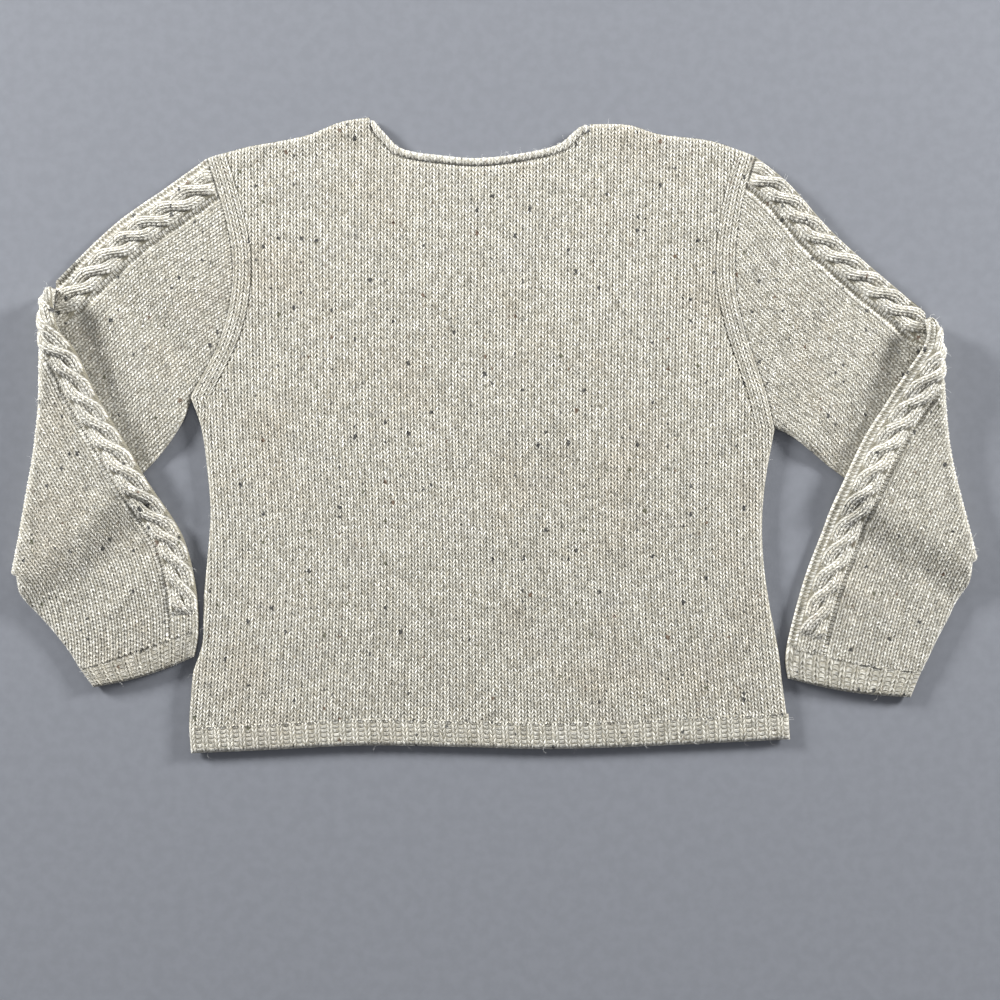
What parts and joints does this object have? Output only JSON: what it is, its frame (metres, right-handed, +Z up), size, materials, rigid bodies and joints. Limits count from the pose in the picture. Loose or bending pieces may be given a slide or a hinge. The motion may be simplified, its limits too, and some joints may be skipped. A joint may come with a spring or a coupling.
{
  "type": "cable knit sweater laid flat",
  "caption": "Marled tweed pullover laid flat with its back up, crew neck, rib hem and cuffs, rope cables down the sleeves, and both sleeves folded over at the elbow.",
  "frame": {"origin": "on the surface that the sweater lies on, below the middle of its outline", "axes": "+Z up from the surface, +Y from the hem to the neck, +X to the right as seen from above"},
  "size_m": [0.9352, 0.6189, 0.0237],
  "materials": {
    "wool": "knitted marled tweed wool, matte, with dark flecks",
    "rib_wool": "one by one rib in the same wool, matte"
  },
  "bodies": {
    "root": {"back": "wool", "front": "wool", "back_hem_rib": "rib_wool", "front_hem_rib": "rib_wool", "back_neck_edge": "rib_wool", "front_neck_edge": "rib_wool", "sleeve_left": "wool", "sleeve_right": "wool", "cuff_left": "rib_wool", "cuff_right": "rib_wool"}
  },
  "joints": []
}
